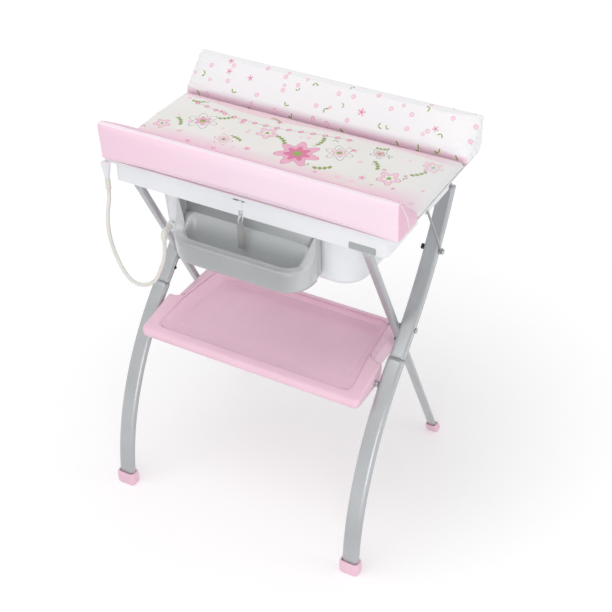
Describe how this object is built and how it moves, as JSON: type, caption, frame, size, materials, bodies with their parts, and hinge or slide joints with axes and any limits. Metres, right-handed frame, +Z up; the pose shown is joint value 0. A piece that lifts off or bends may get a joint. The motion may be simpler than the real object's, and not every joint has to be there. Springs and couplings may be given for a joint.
{
  "type": "changing table with bathtub",
  "caption": "Folding changing table on crossed legs, with a padded mat over a baby bath, a drain hose, a soap tray and a shelf.",
  "frame": {"origin": "on the floor, midway between the front and rear feet and between the left and right ones", "axes": "+X along the table's long side, to the right as seen from the front, +Y from front to back, +Z up"},
  "size_m": [0.8, 0.6346, 1.0653],
  "materials": {
    "leg_paint": "satin silver grey paint",
    "steel": "zinc plated",
    "pink_plastic": "moulded, satin",
    "white_plastic": "moulded, satin gloss",
    "grey_plastic": "moulded, satin",
    "black_plastic": "moulded, matt",
    "hose_plastic": "soft, satin",
    "band_plastic": "soft, milky",
    "board": "hardboard",
    "mat_cloth": "coated cloth",
    "pink_cloth": "coated cloth",
    "white_cloth": "coated cloth"
  },
  "bodies": {
    "outer_frame": {"outer_lower_leg_left": "leg_paint", "outer_lower_leg_right": "leg_paint", "outer_upper_leg_left": "leg_paint", "outer_upper_leg_right": "leg_paint", "front_foot_left": "pink_plastic", "front_foot_right": "pink_plastic", "hinge_ear_left": "grey_plastic", "hinge_ear_right": "grey_plastic", "shelf_rod": "steel", "shelf_rod_collars": "black_plastic", "pivot_bolts": "steel", "pivot_spacers": "steel", "pivot_nuts": "steel", "leg_joint_screws": "black_plastic", "stay_bolts": "steel", "stay_knobs": "black_plastic"},
    "inner_frame": {"inner_leg_left": "leg_paint", "inner_leg_right": "leg_paint", "rear_foot_left": "pink_plastic", "rear_foot_right": "pink_plastic", "inner_leg_cap_left": "black_plastic", "inner_leg_cap_right": "black_plastic", "inner_crossbar": "leg_paint"},
    "table_top": {"tub": "white_plastic", "hinge_bracket_left": "white_plastic", "hinge_bracket_right": "white_plastic", "table_hinge_pins": "steel", "leg_rest_left": "white_plastic", "leg_rest_right": "white_plastic", "drain_outlet": "hose_plastic", "drain_nut": "white_plastic", "drain_hose": "hose_plastic", "hose_stopper": "hose_plastic", "hose_holder": "white_plastic", "soap_tray": "grey_plastic", "tray_screws": "steel", "name_plate": "grey_plastic", "strap": "white_plastic", "strap_hook": "white_plastic", "strap_tail": "band_plastic", "mat_hinge_lower_leaves": "steel", "mat_hinge_pins": "steel"},
    "shelf": {"shelf": "pink_plastic"},
    "mat": {"mat_board": "board", "mat_pad": "mat_cloth", "front_bolster": "pink_cloth", "rear_bolster": "white_cloth", "mat_hinge_upper_leaves": "steel"},
    "left_stay": {"stay_left": "steel"},
    "right_stay": {"stay_right": "steel"}
  },
  "joints": [
    {"name": "leg_fold", "type": "hinge", "parent": "outer_frame", "child": "inner_frame", "pos_m": [0, -0.00774, 0.589], "axis": [1, 0, 0], "range_deg": [-50, 0]},
    {"name": "table_fold", "type": "hinge", "parent": "outer_frame", "child": "table_top", "pos_m": [0, 0.199, 0.935], "axis": [1, 0, 0], "range_deg": [-75, 0]},
    {"name": "shelf_fold", "type": "hinge", "parent": "outer_frame", "child": "shelf", "pos_m": [0, -0.11702, 0.479], "axis": [1, 0, 0], "range_deg": [0, 60]},
    {"name": "mat_lift", "type": "hinge", "parent": "table_top", "child": "mat", "pos_m": [0, 0.2798, 0.95875], "axis": [1, 0, 0], "range_deg": [-80, 0]},
    {"name": "left_stay_turn", "type": "hinge", "parent": "outer_frame", "child": "left_stay", "pos_m": [-0.3736, 0.1179, 0.752], "axis": [1, 0, 0], "range_deg": [0, 95]},
    {"name": "right_stay_turn", "type": "hinge", "parent": "outer_frame", "child": "right_stay", "pos_m": [0.3736, 0.1179, 0.752], "axis": [1, 0, 0], "range_deg": [0, 95]}
  ],
  "couplings": [
    {"joint": "table_fold", "follows": "leg_fold", "ratio": 1.5},
    {"joint": "shelf_fold", "follows": "leg_fold", "ratio": -1.2}
  ]
}
